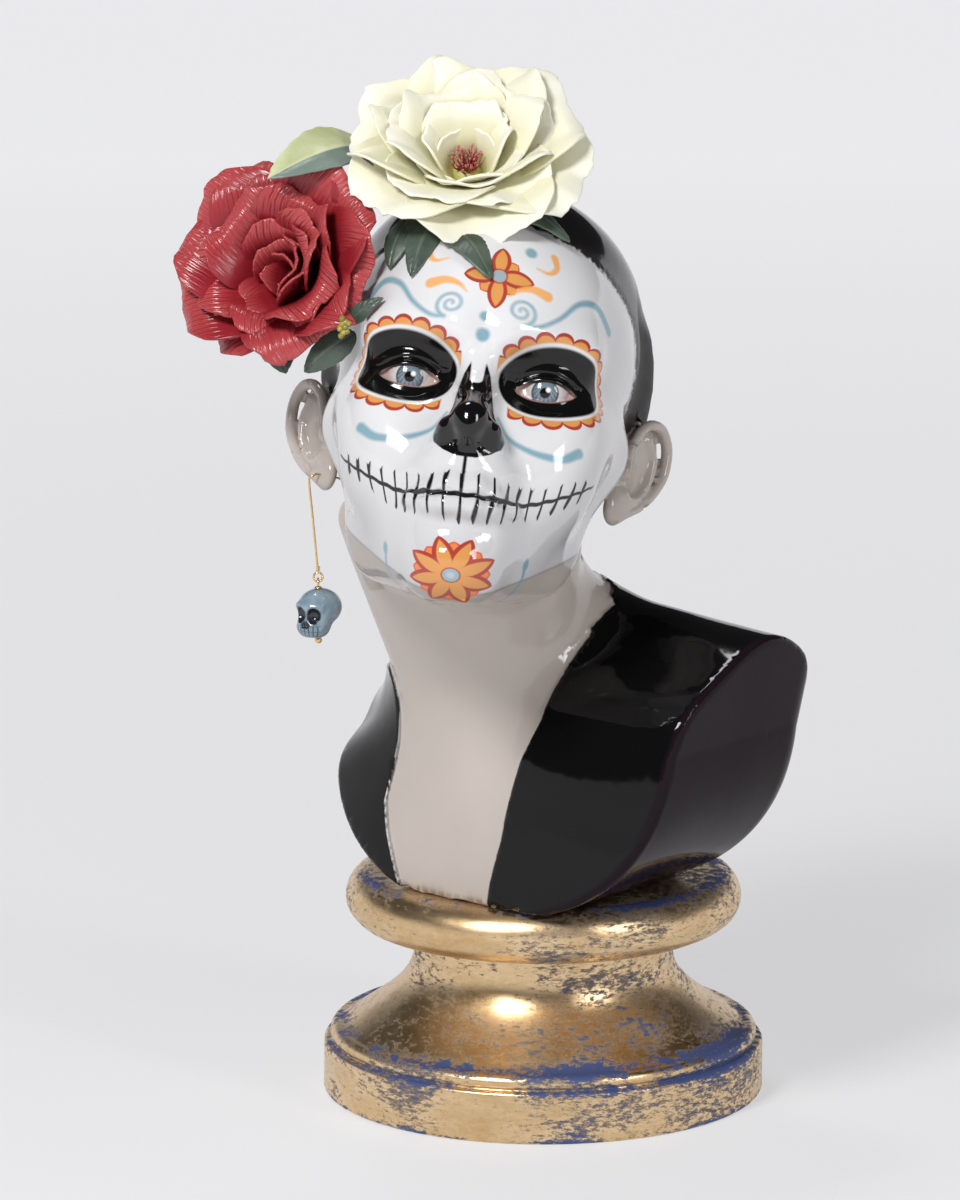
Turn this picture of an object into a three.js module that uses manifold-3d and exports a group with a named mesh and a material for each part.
// A glazed porcelain portrait bust in traditional skull face paint, with two porcelain roses in the hair,
// one hanging earring, and a turned and gilded wooden base. Millimetres, +Z up.
// The origin is the centre of the base's underside, and -Y is the side the base shows first.
import * as THREE from "three";
import { mergeVertices } from "three/addons/utils/BufferGeometryUtils.js";
import Module from "manifold-3d";

const wasm = await Module();
wasm.setup();

// Driving sizes
const GAP = 0.3;
const CLEARANCE = 1;
const BASE_RADIUS = 85;
const BASE_TOP = 86.8;
const BASE_TOP_RADIUS = 67;
const BASE_SEGMENTS = 28;

const HEAD_SCALE = 0.81;
const HEAD_PLACE = [-25.5, -30, 262];
const HEAD_TURN = { yaw: 0.5, nod: -31, roll: 7.5 };
const NECK_RADIUS = 44;
const TORSO_PLACE = [-4, 0, 139];
const TORSO_TURN = { yaw: -38, roll: -17 };
const SHIELD = { centre: [15.5, 11], half: [81, 66], power: 2.25, flare: 0.12, depth: 170 };
const FOOT_LEFTOVER = 4;
const EAR_PLACE = [66, 3, -2.5];
const EAR_SIZE = 0.92;
const EAR_TURN = { yaw: 28, roll: 8, nod: -12 };

// Roses: whorls run from the heart outwards; first is the bearing of a whorl's first petal, in degrees
const CREAM_ROSE = {
  place: [-29, -23, 359],
  axis: [-0.05, -0.56, 0.83],
  stemEnd: [-27, -12, 338],
  whorls: [
    { count: 4, first: 45, length: 17, width: 17, opens: [2, 30], cup: 9, ruffle: 0.6, root: 5 },
    { count: 5, first: 20, length: 25, width: 25, opens: [22, 48], cup: 16, ruffle: 1, root: 5 },
    { count: 5, first: 62, length: 36, width: 34, opens: [38, 66], cup: 24, ruffle: 1.6, root: 4 },
    { count: 6, first: 10, length: 48, width: 41, opens: [52, 96], cup: 34, ruffle: 2.2, root: 3 },
  ],
};
const RED_ROSE = {
  place: [-91, -27, 321.5],
  axis: [-0.42, -0.8, 0.43],
  stemEnd: [-60, -4, 318],
  whorls: [
    { count: 3, first: 0, length: 17, width: 15, opens: [-4, 8], cup: 6, ruffle: 0.4, root: 3.2 },
    { count: 4, first: 40, length: 24, width: 24, opens: [8, 26], cup: 12, ruffle: 0.9, root: 4 },
    { count: 5, first: 10, length: 31, width: 31, opens: [22, 58], cup: 18, ruffle: 1.4, root: 4 },
    { count: 6, first: 30, length: 46, width: 42, opens: [40, 96], cup: 28, ruffle: 2, root: 3 },
  ],
};
const PETAL_STEPS = { along: 3, across: 3 };
const PETAL_THICK = [2.2, 1.5];
const FOOT_DEPTH = 14;
const STEM_RADIUS = 4.5;
const LEAF_STEPS = { along: 5, across: 2 };
const LEAF_THICK = 1.5;
const LEAVES = {
  pale_leaf: { root: [-68, -14, 369], tip: [-103, -44, 361], width: 26, face: [0.1, -0.8, 0.6] },
  leaf_brow: { root: [-37, -50, 345], tip: [-20.5, -81, 331.5], width: 15, face: [0.2, -0.6, 0.8] },
  leaf_centre: { root: [-41, -46, 347], tip: [-50, -70, 330.5], width: 14, face: [-0.1, -0.6, 0.8] },
  leaf_temple: { root: [-48, -40, 348], tip: [-58, -58, 331], width: 14, face: [-0.5, -0.6, 0.6] },
  leaf_crown: { root: [-16, -46, 352], tip: [9, -57, 341], width: 12, face: [0.3, -0.4, 0.85] },
  leaf_between: { root: [-58, -20, 348], tip: [-69, -38, 371], width: 20, face: [-0.5, -0.8, 0.3] },
  leaf_ear: { root: [-99, -32, 306], tip: [-97, -47, 289.5], width: 19, face: [-0.5, -0.8, 0.2] },
  leaf_cheek: { root: [-71, -60, 307], tip: [-90, -53, 291], width: 13, face: [-0.3, -0.9, 0.3] },
  leaf_bud: { root: [-73, -64, 312], tip: [-60.5, -69, 322], width: 7, face: [-0.3, -0.9, 0.3] },
};
const SPRIG = { root: [-78, -61, 309], tip: [-75, -72, 311.5], berries: 8, radius: 1.6 };

// Earring: the lobe's hole is in the ear's frame, the loop is where wire and pin link
const LOBE_HOLE = [2.5, 8, -25];
const WIRE_RADIUS = 0.42;
const LOOP_RADIUS = 1.7;
const LOOP_SIDE = -85.6;
const LOOP_HEIGHT = 208.4;
const BEAD_DROP = 11.6;
const BEAD_BOTTOM = 8.6;
const BEAD_YAW = -34;
const BEAD_HOLE = 0.9;

// How many triangles each freely shaped piece is thinned to
const TRIANGLES = { body: 2150, ear: 150, clearance: 2400, rose: 1470, bead: 360 };

// Vectors and distance fields
const { min, max, abs, hypot, sin, cos, sqrt, PI } = Math;
const clamp = (x, low, high) => min(max(x, low), high);
const lerp = (a, b, t) => a + (b - a) * t;
const radians = (degrees) => (degrees * PI) / 180;
const smooth = (low, high, x) => {
  const t = clamp((x - low) / (high - low), 0, 1);
  return t * t * (3 - 2 * t);
};
const vector = (p) => new THREE.Vector3(...p);

function blend(a, b, k) {
  const h = max(k - abs(a - b), 0) / k;
  return min(a, b) - h * h * k * 0.25;
}
const carve = (a, b, k) => -blend(-a, b, k);
const trim = (a, b, k) => -blend(-a, -b, k);

function ellipsoid(p, c, r) {
  const [x, y, z] = [p[0] - c[0], p[1] - c[1], p[2] - c[2]];
  const near = hypot(x / r[0], y / r[1], z / r[2]);
  const far = hypot(x / r[0] ** 2, y / r[1] ** 2, z / r[2] ** 2);
  return (near * (near - 1)) / (far + 1e-9);
}

function limb(p, a, b, startRadius, endRadius) {
  const axis = [b[0] - a[0], b[1] - a[1], b[2] - a[2]];
  const from = [p[0] - a[0], p[1] - a[1], p[2] - a[2]];
  const dot = from[0] * axis[0] + from[1] * axis[1] + from[2] * axis[2];
  const t = clamp(dot / (axis[0] ** 2 + axis[1] ** 2 + axis[2] ** 2), 0, 1);
  const off = hypot(from[0] - axis[0] * t, from[1] - axis[1] * t, from[2] - axis[2] * t);
  return off - lerp(startRadius, endRadius, t);
}

// A frame turned by nod about x, roll about y, then yaw about z
function frameOf(place, { yaw = 0, nod = 0, roll = 0 }, scale = 1) {
  const turn = new THREE.Matrix4().makeRotationZ(radians(yaw));
  turn.multiply(new THREE.Matrix4().makeRotationX(radians(nod)));
  turn.multiply(new THREE.Matrix4().makeRotationY(radians(roll)));
  const out = new THREE.Matrix4().makeTranslation(...place).multiply(turn);
  out.multiply(new THREE.Matrix4().makeScale(scale, scale, scale));
  return { out, back: out.clone().invert() };
}
const inFrame = (p, frame) => vector(p).applyMatrix4(frame.back).toArray();
const fromFrame = (p, frame) => vector(p).applyMatrix4(frame.out).toArray();

const headFrame = frameOf(HEAD_PLACE, HEAD_TURN, HEAD_SCALE);
const torsoFrame = frameOf(TORSO_PLACE, TORSO_TURN);
const shieldFrame = frameOf(TORSO_PLACE, { yaw: TORSO_TURN.yaw });

// Head, in life-size millimetres: origin between the ears at eye level, face towards -Y.
// The features follow the usual canon: eyes at half height, nose and mouth by thirds.
function skull(q) {
  const cranium = ellipsoid(q, [0, 6, 36], [70, 90, 74]);
  const forehead = ellipsoid(q, [0, -29, 35], [60, 66.5, 57]);
  const face = ellipsoid(q, [0, -34, -30], [50, 54, 62]);
  const temples = ellipsoid(q, [0, -30, -1], [59, 50, 44]);
  return blend(blend(blend(cranium, forehead, 20), face, 18), temples, 16);
}

function jaw(d, q) {
  d = blend(d, limb(q, [34, -18, -64], [9, -70, -90], 12, 12), 22);
  d = blend(d, limb(q, [54, -8, -14], [35, -17, -62], 10, 11), 20);
  d = blend(d, ellipsoid(q, [0, -78, -91], [14, 15, 13]), 20);
  return blend(d, ellipsoid(q, [0, -64, -62], [27, 33, 27]), 20);
}

function browAndCheeks(d, q) {
  d = blend(d, ellipsoid(q, [35, -58, -33], [24, 26, 29]), 20);
  d = blend(d, limb(q, [44, -62, -15], [58, -22, -8], 7, 7), 24);
  d = blend(d, limb(q, [12, -86, 19], [46, -70, 21], 8, 6), 16);
  d = carve(d, ellipsoid(q, [31, -92, -1], [19, 15, 13]), 13);
  return blend(d, ellipsoid(q, [31, -68, 0], [15, 14, 9]), 5);
}

function noseAndMouth(d, q) {
  let nose = limb(q, [0, -85, 9], [0, -95, -12], 5, 5.4);
  nose = blend(nose, limb(q, [0, -95, -12], [0, -108, -31], 5.4, 7.6), 5);
  nose = blend(nose, limb(q, [0, -80, 4], [0, -94, -33], 6.5, 9.5), 8);
  nose = blend(nose, ellipsoid(q, [11, -99, -36], [6.4, 9, 7]), 5);
  nose = blend(nose, limb(q, [0, -110, -37], [0, -99, -42], 4.5, 5), 5);
  d = blend(d, nose, 9);
  d = blend(d, limb(q, [18, -93, -61.5], [0, -98.5, -60], 3.6, 5), 6);
  d = blend(d, limb(q, [16, -93, -69], [0, -97, -70.5], 4, 5.4), 6);
  return carve(d, limb(q, [14, -98, -80], [0, -102, -80.5], 4, 5), 9);
}

// An ear in its own frame: x outwards, y back, z up
function earField(e) {
  let d = ellipsoid(e, [2.5, 16, 4], [5.5, 16.5, 26]);
  d = blend(d, ellipsoid(e, [2.5, 9, -21], [5.5, 9, 11]), 6);
  d = blend(d, ellipsoid(e, [-6, 7, -1], [10, 9, 15]), 5);
  return carve(d, ellipsoid(e, [9.5, 14, 0], [6.5, 8.5, 15]), 4);
}

// Depth inside the hairline, which arches over the forehead, passes behind the ear and ends at the nape
function hairDepth(q) {
  const [side, y, z] = [abs(q[0]), q[1], q[2]];
  const front = z - 74 + 0.0026 * side ** 2 + (y + 62) * 0.25;
  const temple = 0.9 * (y + 5 + 0.35 * clamp(z, -60, 60));
  return min(max(front, temple), z + 52 + 0.2 * (y - 40));
}

function head(p) {
  const q = inFrame(p, headFrame);
  const half = [abs(q[0]), q[1], q[2]];
  let d = noseAndMouth(browAndCheeks(jaw(skull(half), half), half), half);
  const depth = hairDepth(q);
  d -= 8.5 * smooth(0, 42, depth) * smooth(-60, 20, q[2]) + smooth(0, 2.5, depth);
  return d * HEAD_SCALE;
}

const neckFoot = fromFrame([-7, 6, 14], torsoFrame);
const neckTop = fromFrame([0, 20, -45], headFrame);
const neck = (p) => limb(p, neckFoot, neckTop, NECK_RADIUS, NECK_RADIUS - 5.5);

function chest(p) {
  const q = inFrame(p, torsoFrame);
  const across = abs(q[0] - 4);
  const half = [across, q[1], q[2]];
  let d = ellipsoid(half, [0, 6, -50], [150, 66, 106]);
  d = trim(d, (q[2] - 36 + 0.3 * across) * 0.96, 16);
  d = blend(d, limb(half, [36, 9, 22], [102, 14, -6], 24, 22), 22);
  const w = inFrame(p, shieldFrame);
  d = trim(d, w[1] - 46 - 0.18 * (w[2] - 20), 14);
  return max(d, abs(w[0] - SHIELD.centre[0]) - SHIELD.half[0] - 8);
}

// The body runs a little below the base's top and is cut off flat there afterwards
const bustField = (p) =>
  max(blend(blend(chest(p), neck(p), 20), head(p), 9), BASE_TOP - FOOT_LEFTOVER - p[2]);

// Meshing
function spacing(start, end, coarse, fine = coarse, fineStart = start, fineEnd = end) {
  const marks = [start];
  while (marks.at(-1) < end) {
    const at = marks.at(-1);
    marks.push(at + (at >= fineStart && at < fineEnd ? fine : coarse));
  }
  return marks;
}

// The twelve edges of a grid cell as [axis, corner it starts from], and its six faces as rings of corners
const CORNERS = Array.from({ length: 8 }, (_, n) => [n & 1, (n >> 1) & 1, n >> 2]);
const EDGES = [0, 1, 2].flatMap((axis) =>
  CORNERS.flatMap((c, n) => (c[axis] ? [] : [[n, n | (1 << axis)]])),
);
const FACES = [0, 1, 2].flatMap((axis) =>
  [0, 1].map((side) =>
    [0, 1, 3, 2].map((m) => {
      const [u, v] = [(axis + 1) % 3, (axis + 2) % 3];
      return (side << axis) | ((m & 1) << u) | ((m >> 1) << v);
    }),
  ),
);
const edgeBetween = (a, b) =>
  EDGES.findIndex(([m, n]) => (m === a && n === b) || (m === b && n === a));

// Groups a cell's crossed edges into separate sheets; an inside corner that stands alone on a face is cut off
function sheetsOf(inside) {
  const sheet = EDGES.map((_, n) => n);
  const join = (a, b) => {
    const [from, to] = [sheet[a], sheet[b]];
    sheet.forEach((s, n) => s === from && (sheet[n] = to));
  };
  for (const ring of FACES) {
    const edges = ring.map((corner, n) => edgeBetween(corner, ring[(n + 1) % 4]));
    const crossed = ring.map((corner, n) => inside[corner] !== inside[ring[(n + 1) % 4]]);
    const hit = edges.filter((_, n) => crossed[n]);
    if (hit.length === 2) join(...hit);
    if (hit.length === 4)
      ring.forEach((corner, n) => inside[corner] && join(edges[n], edges[(n + 3) % 4]));
  }
  return sheet;
}

// The surface where the field is zero: one point for each sheet in each grid cell, pulled onto the
// surface, and one quad for each grid edge that it crosses.
function surfaceOf(field, marks) {
  const [nx, ny, nz] = marks.map((m) => m.length);
  const at = (i, j, k) => (i * ny + j) * nz + k;
  const value = new Float64Array(nx * ny * nz);
  const place = (cell) => cell.map((m, n) => marks[n][m]);
  for (let i = 0; i < nx; i++)
    for (let j = 0; j < ny; j++)
      for (let k = 0; k < nz; k++) value[at(i, j, k)] = field(place([i, j, k]));

  const points = [];
  const cells = new Map();
  function settle(p) {
    for (let step = 0; step < 2; step++) {
      const d = field(p);
      const slope = [0, 1, 2].map((n) => {
        const q = [...p];
        q[n] += 0.5;
        return (field(q) - d) / 0.5;
      });
      const square = max(slope[0] ** 2 + slope[1] ** 2 + slope[2] ** 2, 0.3);
      p = p.map((x, n) => x - clamp((d * slope[n]) / square, -1.5, 1.5));
    }
    return p;
  }
  function fill(cell) {
    const corner = CORNERS.map((c) => cell.map((m, n) => m + c[n]));
    const values = corner.map((c) => value[at(...c)]);
    const sheet = sheetsOf(values.map((v) => v < 0));
    const sums = new Map();
    EDGES.forEach(([a, b], n) => {
      if (values[a] < 0 === values[b] < 0) return;
      const t = values[a] / (values[a] - values[b]);
      const [pa, pb] = [place(corner[a]), place(corner[b])];
      const sum = sums.get(sheet[n]) ?? [0, 0, 0, 0];
      sums.set(sheet[n], [...[0, 1, 2].map((m) => sum[m] + lerp(pa[m], pb[m], t)), sum[3] + 1]);
    });
    const index = new Map();
    for (const [id, [x, y, z, count]] of sums) {
      index.set(id, points.length / 3);
      points.push(...settle([x / count, y / count, z / count]));
    }
    return sheet.map((id) => index.get(id));
  }
  function pointOf(cell, edge) {
    const key = at(...cell);
    if (!cells.has(key)) cells.set(key, fill(cell));
    return cells.get(key)[edge];
  }

  const faces = [];
  const apart = (m, n) => hypot(...[0, 1, 2].map((o) => points[3 * m + o] - points[3 * n + o]));
  for (let axis = 0; axis < 3; axis++) {
    const [u, v] = [(axis + 1) % 3, (axis + 2) % 3];
    for (let i = 1; i < nx - 1; i++)
      for (let j = 1; j < ny - 1; j++)
        for (let k = 1; k < nz - 1; k++) {
          const from = [i, j, k];
          const to = from.map((m, n) => m + (n === axis));
          const inside = value[at(...from)] < 0;
          if (inside === value[at(...to)] < 0) continue;
          const ring = [[0, 0], [1, 0], [1, 1], [0, 1]].map(([du, dv]) => {
            const cell = from.map((m, n) => m - (n === u ? du : 0) - (n === v ? dv : 0));
            const corner = (du << u) | (dv << v);
            return pointOf(cell, edgeBetween(corner, corner | (1 << axis)));
          });
          if (!inside) ring.reverse();
          const [a, b, c, d] = ring;
          if (apart(a, c) < apart(b, d)) faces.push(a, b, c, a, c, d);
          else faces.push(b, c, d, b, d, a);
        }
  }
  return meshOf(points, faces);
}

function meshOf(points, faces) {
  const geometry = new THREE.BufferGeometry();
  geometry.setAttribute("position", new THREE.Float32BufferAttribute(points, 3));
  return geometry.setIndex(faces);
}

// Joins the ends of the edges whose loss changes the shape least, until wanted triangles are left.
// A join is passed over where it would pinch the surface or turn a triangle round.
function thin(geometry, wanted) {
  const at = geometry.attributes.position.array;
  const points = Array.from({ length: at.length / 3 }, (_, n) => vector(at.subarray(3 * n, 3 * n + 3)));
  const faces = [];
  for (let n = 0; n < geometry.index.count; n += 3)
    faces.push([...geometry.index.array.subarray(n, n + 3)]);
  const around = points.map(() => new Set());
  faces.forEach((face, n) => face.forEach((v) => around[v].add(n)));
  const normalOf = ([a, b, c], moved, to) => {
    const [p, q, r] = [a, b, c].map((v) => (moved.includes(v) ? to : points[v]));
    return q.clone().sub(p).cross(r.clone().sub(p));
  };
  // A vertex's error is the sum over its planes of area times squared distance
  const planes = points.map(() => new Float64Array(10));
  for (const face of faces) {
    const normal = normalOf(face, [], null);
    const area = normal.length() / 2;
    normal.normalize();
    const [x, y, z, w] = [...normal.toArray(), -normal.dot(points[face[0]])];
    const terms = [x * x, x * y, x * z, x * w, y * y, y * z, y * w, z * z, z * w, w * w];
    face.forEach((v) => terms.forEach((t, n) => (planes[v][n] += t * area)));
  }
  const errorAt = (a, b, { x, y, z }) => {
    const q = planes[a].map((t, n) => t + planes[b][n]);
    const square = q[0] * x * x + q[4] * y * y + q[7] * z * z + q[9];
    return square + 2 * (q[1] * x * y + q[2] * x * z + q[3] * x + q[5] * y * z + q[6] * y + q[8] * z);
  };
  const ringOf = (v) => new Set([...around[v]].flatMap((n) => faces[n]).filter((w) => w !== v));
  const alive = points.map(() => true);
  const stamp = points.map(() => 0);
  let queue = [];
  const offer = (a, b) => {
    const spots = [points[a], points[b], points[a].clone().lerp(points[b], 0.5)];
    const costs = spots.map((p) => errorAt(a, b, p));
    const best = costs.indexOf(min(...costs));
    const cost = costs[best] + 0.02 * points[a].distanceToSquared(points[b]);
    queue.push({ a, b, cost, spot: spots[best].clone(), stamps: [stamp[a], stamp[b]] });
  };
  faces.forEach((face) => face.forEach((a, n) => a < face[(n + 1) % 3] && offer(a, face[(n + 1) % 3])));
  let left = faces.length;
  while (left > wanted && queue.length) {
    queue.sort((m, n) => m.cost - n.cost);
    const batch = queue;
    queue = [];
    const limit = batch[min(batch.length - 1, Math.ceil(batch.length * 0.15))].cost;
    for (const item of batch) {
      const { a, b, cost, spot, stamps } = item;
      if (!alive[a] || !alive[b] || stamps[0] !== stamp[a] || stamps[1] !== stamp[b]) continue;
      if (left <= wanted || cost > limit) {
        queue.push(item);
        continue;
      }
      const [ringA, ringB] = [ringOf(a), ringOf(b)];
      const shared = [...ringA].filter((v) => ringB.has(v));
      const gone = [...around[a]].filter((n) => around[b].has(n));
      if (shared.length !== 2 || gone.length !== 2) continue;
      const kept = [...around[a], ...around[b]].filter((n) => !gone.includes(n));
      const turned = kept.some((n) => {
        const [was, now] = [normalOf(faces[n], [], null), normalOf(faces[n], [a, b], spot)];
        return was.normalize().dot(now.clone().normalize()) < 0.4 || now.length() < 0.05;
      });
      if (turned) continue;
      gone.forEach((n) => faces[n].forEach((v) => around[v].delete(n)));
      gone.forEach((n) => (faces[n] = null));
      for (const n of around[b]) {
        faces[n] = faces[n].map((v) => (v === b ? a : v));
        around[a].add(n);
      }
      alive[b] = false;
      points[a] = spot;
      planes[b].forEach((t, n) => (planes[a][n] += t));
      stamp[a]++;
      left -= 2;
      for (const v of ringOf(a)) offer(a, v);
    }
  }
  const number = new Map();
  const flat = [];
  const index = faces.flatMap((face) => (face ?? []).map((v) => {
    if (!number.has(v)) {
      number.set(v, flat.length / 3);
      flat.push(...points[v].toArray());
    }
    return number.get(v);
  }));
  return meshOf(flat, index);
}

function flip(geometry) {
  const index = geometry.index.array;
  for (let i = 0; i < index.length; i += 3) [index[i], index[i + 1]] = [index[i + 1], index[i]];
}

function solid(geometry) {
  const plain = geometry.index ? geometry.clone() : geometry;
  plain.deleteAttribute("normal");
  plain.deleteAttribute("uv");
  const merged = mergeVertices(plain, 1e-3);
  return new wasm.Manifold(
    new wasm.Mesh({
      numProp: 3,
      vertProperties: merged.attributes.position.array,
      triVerts: new Uint32Array(merged.index.array),
    }),
  );
}

function geometryOf(made) {
  const mesh = made.getMesh();
  return meshOf([...mesh.vertProperties], [...mesh.triVerts]);
}

const group = new THREE.Group();
group.name = "day_of_the_dead_bust";

function addMesh(name, geometry, color, roughness, metalness = 0) {
  const material = new THREE.MeshStandardMaterial({ color, roughness, metalness });
  const mesh = new THREE.Mesh(geometry, material);
  mesh.name = name;
  group.add(mesh);
}

// A tube along a curve, with flat ends
function tube(points, radius, steps, sides = 8, closed = false) {
  const section = new THREE.Shape();
  section.absarc(0, 0, radius, 0, 2 * PI);
  const path = new THREE.CatmullRomCurve3(points.map(vector), closed);
  return new THREE.ExtrudeGeometry(section, {
    steps,
    extrudePath: path,
    curveSegments: sides / 2,
    bevelEnabled: false,
  });
}

function arc(cx, cz, radius, fromDegrees, toDegrees, steps) {
  return Array.from({ length: steps + 1 }, (_, i) => {
    const a = radians(lerp(fromDegrees, toDegrees, i / steps));
    return [cx + radius * cos(a), cz + radius * sin(a)];
  });
}

// Turned base: plinth drum, bead, flared waist, torus and a flat top
function basePoints() {
  const flare = Array.from({ length: 5 }, (_, i) => {
    const t = (i + 1) / 5;
    return [50 + 26.4 * (1 - t) ** 3 * (1 + 1.3 * t), 26 + 33 * t];
  });
  return [
    [0, 0],
    [BASE_RADIUS - 2, 0],
    [BASE_RADIUS, 2],
    [BASE_RADIUS, 18.6],
    ...arc(BASE_RADIUS - 1.6, 18.8, 1.6, 30, 80, 1),
    [81.8, 20.5],
    ...arc(79.2, 22.2, 3.4, -20, 80, 3),
    [77, 25.9],
    ...flare,
    [50.4, 62.2],
    [54.6, 64],
    [59.4, 65.6],
    ...arc(66, 76.4, 10, -125, 72, 6),
    [BASE_TOP_RADIUS + 1.2, BASE_TOP - 0.4],
    [BASE_TOP_RADIUS, BASE_TOP],
    [0, BASE_TOP],
  ];
}

function makeBase() {
  const profile = basePoints().map(([r, z]) => new THREE.Vector2(r, z));
  const turned = new THREE.LatheGeometry(profile, BASE_SEGMENTS);
  return turned.rotateX(PI / 2);
}

// The flat sides and the foot of the torso: a shield outline running straight back
function shieldGeometry() {
  const { centre, half, power, flare, depth } = SHIELD;
  const outline = [];
  const steps = 26;
  for (let i = 0; i <= steps; i++) {
    const a = -PI + (PI * i) / steps;
    const round = (v) => Math.sign(v) * abs(v) ** (2 / power);
    outline.push([centre[0] + half[0] * round(cos(a)), centre[1] + half[1] * round(sin(a))]);
  }
  const shape = new THREE.Shape(outline.map(([x, z]) => new THREE.Vector2(x, z)));
  const top = 260;
  shape.lineTo(centre[0] + half[0] + flare * top, centre[1] + top);
  shape.lineTo(centre[0] - half[0] - flare * top, centre[1] + top);
  const block = new THREE.ExtrudeGeometry(shape, { depth: 2 * depth, bevelEnabled: false });
  block.rotateX(PI / 2).translate(0, depth, 0);
  return block.applyMatrix4(shieldFrame.out);
}

function footCut() {
  const block = new THREE.BoxGeometry(400, 400, 200);
  return block.translate(0, 0, BASE_TOP + GAP - 100);
}

function makeEar(side) {
  const marks = [spacing(-20, 14, 3.2), spacing(-8, 38, 3.2), spacing(-37, 35, 3.6)];
  const geometry = thin(surfaceOf(earField, marks), TRIANGLES.ear).scale(side, 1, 1);
  if (side < 0) flip(geometry);
  return solid(geometry.applyMatrix4(earMatrix(side)));
}

function earMatrix(side) {
  const turn = { yaw: -EAR_TURN.yaw * side, roll: EAR_TURN.roll * side, nod: EAR_TURN.nod };
  const [x, y, z] = EAR_PLACE;
  const place = frameOf([x * side, y, z], turn).out;
  return headFrame.out.clone().multiply(place).scale(new THREE.Vector3(EAR_SIZE, EAR_SIZE, EAR_SIZE));
}

// The head and shoulders, swollen by a clearance, to cut what lies on them
function bustClearance() {
  const grid = [spacing(-122, 126, 8), spacing(-150, 112, 8), spacing(62, 372, 8)];
  return solid(thin(surfaceOf((p) => bustField(p) - CLEARANCE, grid), TRIANGLES.clearance));
}

function makeBust() {
  const grid = [
    spacing(-122, 126, 6.6, 4, -92, 14),
    spacing(-150, 112, 6.6, 3.6, -136, -64),
    spacing(62, 372, 6.6, 4, 216, 300),
  ];
  const body = solid(thin(surfaceOf(bustField, grid), TRIANGLES.body));
  const torso = body.intersect(solid(shieldGeometry()));
  return torso.subtract(solid(footCut())).add(makeEar(1)).add(makeEar(-1));
}

// One petal: its middle line leaves the flower's axis at an angle that opens from root to tip, its sides
// cup towards the axis, and its rim is ruffled. Around is its bearing about the axis.
function petal(size, around, phase) {
  const { length, width, opens, cup, ruffle, root } = size;
  const [along, across] = [PETAL_STEPS.along, PETAL_STEPS.across];
  const grid = [];
  for (let i = 0; i <= along; i++) {
    const row = [];
    for (let j = 0; j <= across; j++) {
      const t = (2 * j) / across - 1;
      const s = (i / along) * (1 - 0.14 * t * t);
      const lean = radians(lerp(opens[0], opens[1], s ** 1.3));
      const mean = radians(lerp(opens[0], opens[1], s ** 1.3 / 2.3));
      const spread = 0.3 + 0.7 * sin((PI / 2) * min(1, s / 0.62));
      const x = 0.5 * width * t * spread * (1 - 0.2 * smooth(0.62, 1, s) * t * t);
      const lift = (x * x) / (2 * cup) + ruffle * s * s * sin(4.5 * t + phase);
      const out = root + length * s * sin(mean) - lift * cos(lean);
      const up = length * s * cos(mean) + lift * sin(lean);
      row.push(new THREE.Vector3(x, out, up));
    }
    grid.push(row);
  }
  const sheet = slab(grid, (s) => lerp(PETAL_THICK[0], PETAL_THICK[1], s));
  return sheet.rotateZ(around);
}

// A closed sheet of varying thickness from a grid of points
function slab(grid, thickness) {
  const [rows, columns] = [grid.length, grid[0].length];
  const last = columns - 1;
  const sides = [1, -1].map((side) =>
    grid.flatMap((row, i) =>
      row.map((p, j) => {
        const along = grid[min(i + 1, rows - 1)][j].clone().sub(grid[max(i - 1, 0)][j]);
        const across = row[min(j + 1, columns - 1)].clone().sub(row[max(j - 1, 0)]);
        const normal = across.cross(along).normalize();
        return p.clone().addScaledVector(normal, (side * thickness(i / (rows - 1))) / 2);
      }),
    ),
  );
  const points = sides.flat().flatMap((p) => p.toArray());
  const at = (side, i, j) => side * rows * columns + i * columns + j;
  const faces = [];
  const quad = (a, b, c, d) => faces.push(a, b, c, a, c, d);
  for (let i = 0; i < rows - 1; i++)
    for (let j = 0; j < columns - 1; j++) {
      quad(at(0, i, j), at(0, i, j + 1), at(0, i + 1, j + 1), at(0, i + 1, j));
      quad(at(1, i, j), at(1, i + 1, j), at(1, i + 1, j + 1), at(1, i, j + 1));
    }
  for (let i = 0; i < rows - 1; i++) {
    quad(at(0, i, 0), at(0, i + 1, 0), at(1, i + 1, 0), at(1, i, 0));
    quad(at(0, i, last), at(1, i, last), at(1, i + 1, last), at(0, i + 1, last));
  }
  for (let j = 0; j < columns - 1; j++) {
    quad(at(0, 0, j), at(1, 0, j), at(1, 0, j + 1), at(0, 0, j + 1));
    quad(at(0, rows - 1, j), at(0, rows - 1, j + 1), at(1, rows - 1, j + 1), at(1, rows - 1, j));
  }
  return meshOf(points, faces);
}

// A frame whose Z runs along the axis, turned so that bearing 0 points as far down as it can
function axisFrame(place, axis) {
  const z = vector(axis).normalize();
  const y = new THREE.Vector3(0, 0, -1).addScaledVector(z, z.z).normalize();
  const x = y.clone().cross(z);
  return new THREE.Matrix4().makeBasis(x, y, z).setPosition(vector(place));
}

function largestOf(made) {
  return made.decompose().sort((a, b) => b.volume() - a.volume())[0];
}

function apart(a, b) {
  const [p, q] = [a.boundingBox(), b.boundingBox()];
  return [0, 1, 2].some((k) => p.min[k] > q.max[k] + GAP || q.min[k] > p.max[k] + GAP);
}

// What is left of a piece when its neighbours, each swollen by the gap, are taken away
function clearOf(piece, neighbours) {
  let left = piece;
  for (const other of neighbours.filter((neighbour) => !apart(piece, neighbour))) {
    let swollen = other;
    for (const shift of [-GAP, GAP])
      swollen = swollen
        .add(other.translate([shift, 0, 0]))
        .add(other.translate([0, shift, 0]))
        .add(other.translate([0, 0, shift]));
    left = left.subtract(swollen);
  }
  return largestOf(left);
}

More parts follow.
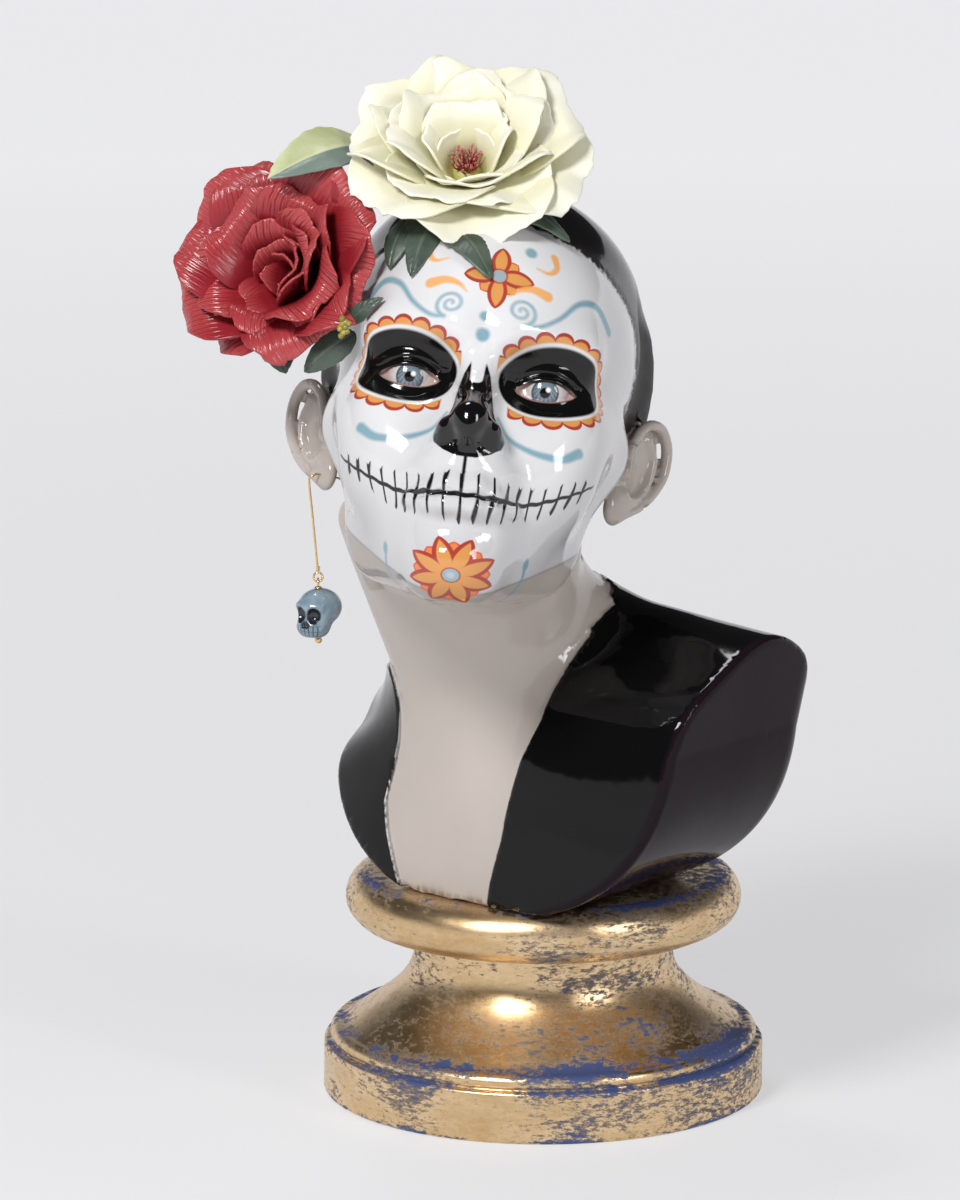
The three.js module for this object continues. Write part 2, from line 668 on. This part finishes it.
const clearance = bustClearance();

// The petals stand on a round receptacle, whose foot runs into a stout stem that ends on the hair
function makeRose({ place, axis, stemEnd, whorls }) {
  const cup = [
    [0, -FOOT_DEPTH],
    [5, -FOOT_DEPTH],
    [6.5, -4],
    [6.5, 3],
    [0, 6.5],
  ];
  const profile = cup.map(([r, z]) => new THREE.Vector2(r, z));
  let rose = solid(new THREE.LatheGeometry(profile, 12).rotateX(PI / 2));
  for (const [w, whorl] of whorls.entries())
    for (let n = 0; n < whorl.count; n++) {
      const around = radians(whorl.first) + (2 * PI * n) / whorl.count;
      rose = rose.add(solid(petal(whorl, around, 2.4 * n + w)));
    }
  const light = thin(geometryOf(rose), TRIANGLES.rose);
  const placed = solid(light.applyMatrix4(axisFrame(place, axis)));
  const heel = vector(place).addScaledVector(vector(axis).normalize(), 2 - FOOT_DEPTH);
  const middle = heel.clone().lerp(vector(stemEnd), 0.5);
  const stem = tube([heel.toArray(), middle.toArray(), stemEnd], STEM_RADIUS, 2, 8);
  return placed.add(solid(stem)).subtract(clearance);
}

// A leaf from root to tip: pointed, folded along its midrib and arched along its length
function makeLeaf({ root, tip, width, face }) {
  const [from, to] = [vector(root), vector(tip)];
  const along = to.clone().sub(from);
  const length = along.length();
  const across = along.clone().normalize().cross(vector(face)).normalize();
  const up = across.clone().cross(along).normalize();
  const grid = [];
  for (let i = 0; i <= LEAF_STEPS.along; i++) {
    const s = i / LEAF_STEPS.along;
    const half = 0.5 * width * (0.1 + 0.95 * sin(PI * s ** 0.8) ** 0.8 * (1 - 0.25 * s));
    const row = [];
    for (let j = 0; j <= LEAF_STEPS.across; j++) {
      const t = (2 * j) / LEAF_STEPS.across - 1;
      const rise = 0.12 * length * sin(PI * s) - 0.22 * half * (abs(t) - 0.5);
      const midrib = from.clone().addScaledVector(along, s);
      row.push(midrib.addScaledVector(across, half * t).addScaledVector(up, rise));
    }
    grid.push(row);
  }
  return solid(slab(grid, () => LEAF_THICK));
}

// Small round berries in a loose spiral around a stem's tip
function makeSprig({ root, tip, berries, radius }) {
  const end = vector(tip);
  const middle = vector(root).lerp(end, 0.5);
  let sprig = solid(tube([root, middle.toArray(), tip], 0.8, 2, 4));
  for (let n = 0; n < berries; n++) {
    const turn = 2.4 * n;
    const reach = 1.2 + 0.35 * n;
    const offset = new THREE.Vector3(0.5 * reach * cos(turn), 0.4 * sin(turn), reach * sin(turn));
    const centre = end.clone().add(offset).toArray();
    const berry = new THREE.IcosahedronGeometry(radius, 0).translate(...centre);
    sprig = sprig.add(solid(berry));
    if (reach > radius + 0.5) sprig = sprig.add(solid(tube([tip, centre], 0.5, 1, 4)));
  }
  return sprig;
}

const above = (p, rise) => p.clone().add(new THREE.Vector3(0, 0, rise));
const lobe = vector([-LOBE_HOLE[0], LOBE_HOLE[1], LOBE_HOLE[2]]).applyMatrix4(earMatrix(-1));
const ringCentre = new THREE.Vector3(LOOP_SIDE, lobe.y, LOOP_HEIGHT);

// The wire comes through the lobe from behind, turns down and hangs to its ring
function wirePoints() {
  const out = vector([-1, 0, 0]).transformDirection(earMatrix(-1));
  const step = (distance, rise) => above(lobe, rise).addScaledVector(out, distance);
  const end = above(ringCentre, LOOP_RADIUS);
  const turn = step(8.4, -4).setY(lobe.y);
  const points = [step(-6.5, -3), step(-5.5, -0.5), lobe, step(5, 0), step(7.4, -1.4), turn];
  return [...points, turn.clone().lerp(end, 0.4), end].map((p) => p.toArray());
}
const hook = wirePoints();

function ring(centre, turn) {
  const torus = new THREE.TorusGeometry(LOOP_RADIUS, WIRE_RADIUS, 5, 10);
  return solid(torus.rotateX(PI / 2).rotateZ(turn).translate(...centre.toArray()));
}

const makeWire = () => solid(tube(hook, WIRE_RADIUS, 16, 6)).add(ring(ringCentre, 0));

const pinRing = above(ringCentre, GAP + 2 * WIRE_RADIUS - 2 * LOOP_RADIUS);
const beadCentre = above(pinRing, -BEAD_DROP);

function makePin() {
  const foot = above(beadCentre, -BEAD_BOTTOM - 1.2);
  const points = [above(pinRing, -LOOP_RADIUS), beadCentre, foot].map((p) => p.toArray());
  const ball = new THREE.SphereGeometry(1.4, 8, 6).rotateX(PI / 2);
  ball.translate(...above(foot, -0.6).toArray());
  return solid(tube(points, WIRE_RADIUS, 2, 6)).add(ring(pinRing, PI / 2)).add(solid(ball));
}

// A little skull: round cranium, narrower jaw, hollow eyes and cheeks; its face is towards -Y
function beadField(p) {
  const half = [abs(p[0]), p[1], p[2]];
  let d = ellipsoid(half, [0, 1, 2.4], [8, 9, 7]);
  d = blend(d, ellipsoid(half, [0, -3, -4.6], [5.6, 5.6, 4.6]), 2.5);
  d = carve(d, ellipsoid(half, [3.2, -8.2, 1.2], [2.2, 2, 2.4]), 0.8);
  d = carve(d, ellipsoid(half, [8.2, -3.6, -3.4], [2.6, 4, 3]), 1.2);
  return trim(d, -BEAD_BOTTOM - p[2], 0.6);
}

function makeBead() {
  const marks = [spacing(-12, 12, 1.5), spacing(-12, 14, 1.5), spacing(-12, 13, 1.5)];
  const body = thin(surfaceOf(beadField, marks), TRIANGLES.bead);
  const turned = body.rotateZ(radians(BEAD_YAW)).translate(...beadCentre.toArray());
  const line = [above(beadCentre, -20), beadCentre, above(beadCentre, 20)].map((p) => p.toArray());
  return solid(turned).subtract(solid(tube(line, BEAD_HOLE, 2, 8)));
}

addMesh("gilded_base", makeBase(), 0xb28a45, 0.35, 0.8);
const wireHole = solid(tube(hook.slice(0, 4), WIRE_RADIUS + GAP, 8, 6));
const bust = largestOf(makeBust().subtract(wireHole));
const creamRose = makeRose(CREAM_ROSE);
const redRose = clearOf(makeRose(RED_ROSE), [creamRose]);
addMesh("bust", geometryOf(bust), 0xe8e4df, 0.15);
addMesh("cream_rose", geometryOf(creamRose), 0xeeeacb, 0.6);
addMesh("red_rose", geometryOf(redRose), 0xa02c30, 0.3);

const sprig = clearOf(makeSprig(SPRIG).subtract(clearance), [redRose]);
const set = [creamRose, redRose, sprig];
for (const [name, leaf] of Object.entries(LEAVES)) {
  const made = clearOf(makeLeaf(leaf).subtract(clearance), set);
  set.push(made);
  addMesh(name, geometryOf(made), name === "pale_leaf" ? 0xc9d3a4 : 0x4c5c4c, 0.4);
}
addMesh("berry_sprig", geometryOf(sprig), 0x9a8f3c, 0.4);
addMesh("ear_wire", geometryOf(makeWire()), 0xc49a4a, 0.3, 0.9);
addMesh("skull_bead", geometryOf(makeBead()), 0x6f8294, 0.2);
addMesh("bead_pin", geometryOf(makePin()), 0xc49a4a, 0.3, 0.9);

export default group;
